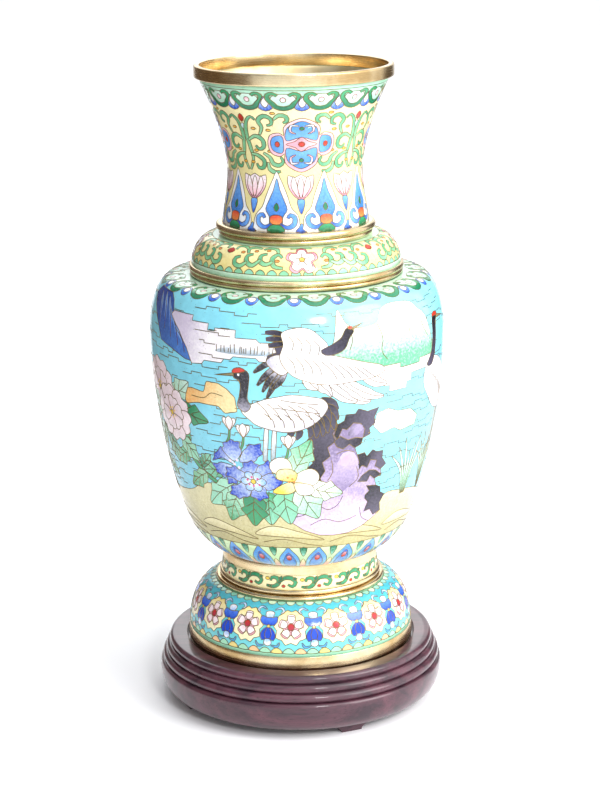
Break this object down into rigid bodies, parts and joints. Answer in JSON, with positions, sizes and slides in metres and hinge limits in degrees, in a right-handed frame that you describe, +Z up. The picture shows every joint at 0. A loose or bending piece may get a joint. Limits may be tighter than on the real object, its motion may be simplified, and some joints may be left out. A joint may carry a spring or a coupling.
{
  "type": "cloisonne vase on a stand",
  "caption": "Baluster cloisonne enamel vase with brass rings and a crane and peony scene, standing in the recess of a turned, footed rosewood stand.",
  "frame": {"origin": "centre of the stand's underside, level with the undersides of its feet", "axes": "+Z up along the turning axis of vase and stand; -Y is the side with the crane scene; +X is to the right of a viewer facing it"},
  "size_m": [0.19, 0.19, 0.419],
  "materials": {
    "gilt_brass": "polished, warm, lightly tarnished",
    "spun_copper": "spun and gilded inside the neck",
    "cloison_wire": "ground flush with the enamel and gilded",
    "yellow_enamel": "fired and polished, cream yellow ground",
    "turquoise_enamel": "fired and polished, turquoise ground",
    "green_enamel": "fired and polished, dark green scrolls on cream",
    "blue_counter_enamel": "fired, slightly uneven",
    "rosewood": "stained dark red-brown and lacquered",
    "dowel_wood": "plain birch dowel"
  },
  "bodies": {
    "stand": {"stand_ring": "rosewood", "stand_apron": "rosewood", "stand_floor": "rosewood", "stand_foot_1": "rosewood", "stand_foot_2": "rosewood", "stand_foot_3": "rosewood", "stand_foot_4": "rosewood", "foot_dowels": "dowel_wood"},
    "vase": {"rim_band": "gilt_brass", "neck_shell": "spun_copper", "neck_enamel": "yellow_enamel", "neck_wires": "cloison_wire", "neck_ring": "gilt_brass", "collar_shell": "spun_copper", "collar_enamel": "yellow_enamel", "collar_wires": "cloison_wire", "collar_ring": "gilt_brass", "body_shell": "spun_copper", "body_enamel": "turquoise_enamel", "body_wires": "cloison_wire", "body_lining": "blue_counter_enamel", "waist_band": "gilt_brass", "stem_shell": "spun_copper", "stem_enamel": "green_enamel", "stem_wires": "cloison_wire", "stem_ring": "gilt_brass", "foot_shell": "spun_copper", "foot_enamel": "turquoise_enamel", "foot_wires": "cloison_wire", "foot_ring": "gilt_brass", "base_plate": "spun_copper", "base_enamel": "blue_counter_enamel"}
  },
  "joints": [
    {"name": "vase_lift", "type": "slide", "parent": "stand", "child": "vase", "axis": [0, 0, 1], "range_m": [0, 0.06]}
  ]
}
